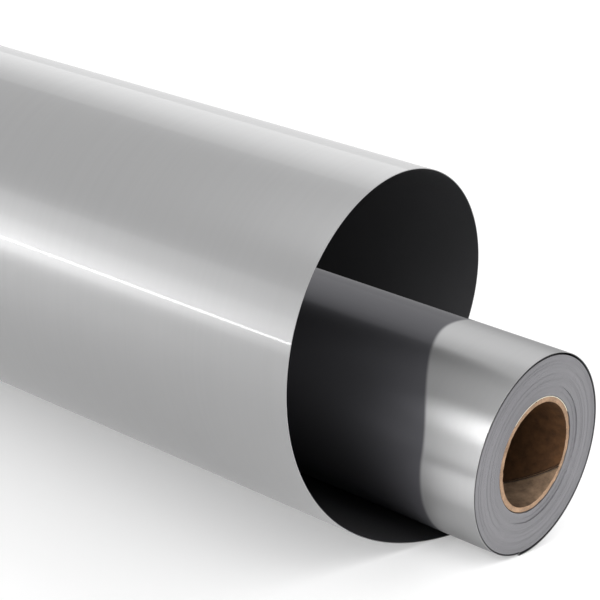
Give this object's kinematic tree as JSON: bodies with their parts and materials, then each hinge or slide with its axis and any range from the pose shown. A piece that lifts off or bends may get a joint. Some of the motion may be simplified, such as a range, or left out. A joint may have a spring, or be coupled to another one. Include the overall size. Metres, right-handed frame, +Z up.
{
  "type": "foil tape roll",
  "caption": "Wide roll of silver-faced, dark-backed foil tape wound on a spiral cardboard core, with its free film sprung into a large loose curl over the roll.",
  "frame": {"origin": "centre of the core's bore at the middle of its length", "axes": "+X along the core axis, towards the end where the core shows and the free film is slit back; -Y towards the loose curl; +Z up as the roll lies on a table"},
  "size_m": [0.3053, 0.0999, 0.091],
  "materials": {
    "kraft_board": "matt brown kraft paper, spiral wound, seam showing in the bore",
    "double_sided_tape": "thin translucent adhesive tape, hidden under the first turn",
    "wound_film": "metallised film edges, satin grey with fine concentric rings",
    "metal_foil": "satin silver metal face under a clear film, with soft long highlights",
    "dark_backing": "near-black smooth backing with a faint sheen"
  },
  "bodies": {
    "paid_out_film": {"last_turn_foil": "metal_foil", "last_turn_backing": "dark_backing", "loop_foil": "metal_foil", "loop_backing": "dark_backing"},
    "wound_roll": {"core_inner_ply": "kraft_board", "core_middle_ply": "kraft_board", "core_outer_ply": "kraft_board", "start_tape": "double_sided_tape", "inner_turns": "wound_film", "middle_turns": "wound_film", "outer_turns": "wound_film"},
    "free_end": {"free_end_foil": "metal_foil", "free_end_backing": "dark_backing"}
  },
  "joints": [
    {"name": "roll_spin", "type": "hinge", "parent": "paid_out_film", "child": "wound_roll", "pos_m": [0, 0, 0], "axis": [1, 0, 0], "continuous": true},
    {"name": "film_flex", "type": "hinge", "parent": "paid_out_film", "child": "free_end", "pos_m": [0, -0.07329, 0.01702], "axis": [1, 0, 0], "range_deg": [-4, 50], "stiffness_Nm_per_rad": 0.6}
  ]
}
